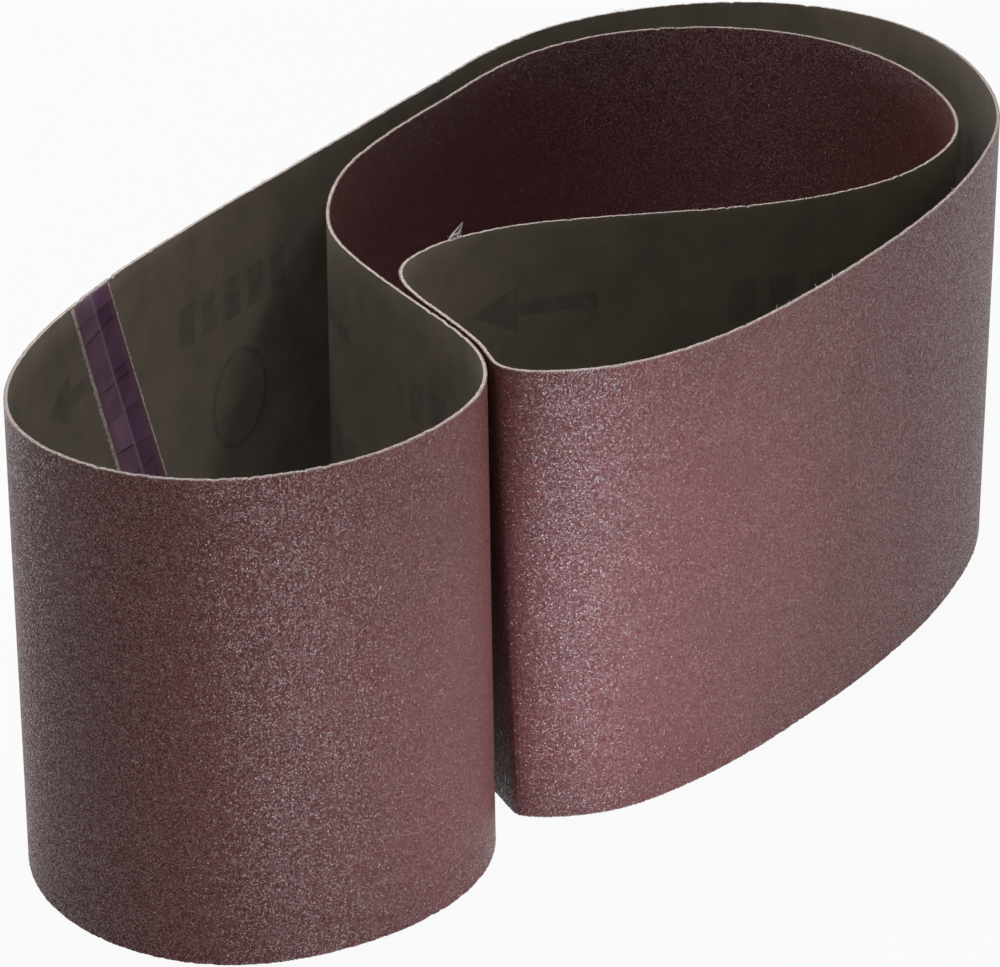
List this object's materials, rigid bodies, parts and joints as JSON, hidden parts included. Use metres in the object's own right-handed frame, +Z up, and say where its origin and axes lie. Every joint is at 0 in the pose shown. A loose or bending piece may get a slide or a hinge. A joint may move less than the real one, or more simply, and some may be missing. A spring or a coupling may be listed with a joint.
{
  "type": "sanding belt",
  "caption": "Endless sanding belt of coated abrasive cloth with a slanted taped splice, folded into lobes and standing on its edge.",
  "frame": {"origin": "middle of the footprint's bounding box, on the plane that the foot edge stands on", "axes": "+Z up, across the belt's width; +Y away from the viewer, the way in which the folded belt lies longest; +X to the viewer's right"},
  "size_m": [0.3116, 0.429, 0.15],
  "materials": {
    "abrasive_cloth": "purple-brown abrasive grain bonded to a dark olive-grey cloth backing, with pale frayed cut edges",
    "tape_film": "satin purple film, creased across"
  },
  "bodies": {
    "root": {"belt": "abrasive_cloth", "splice_tape": "tape_film"}
  },
  "joints": []
}
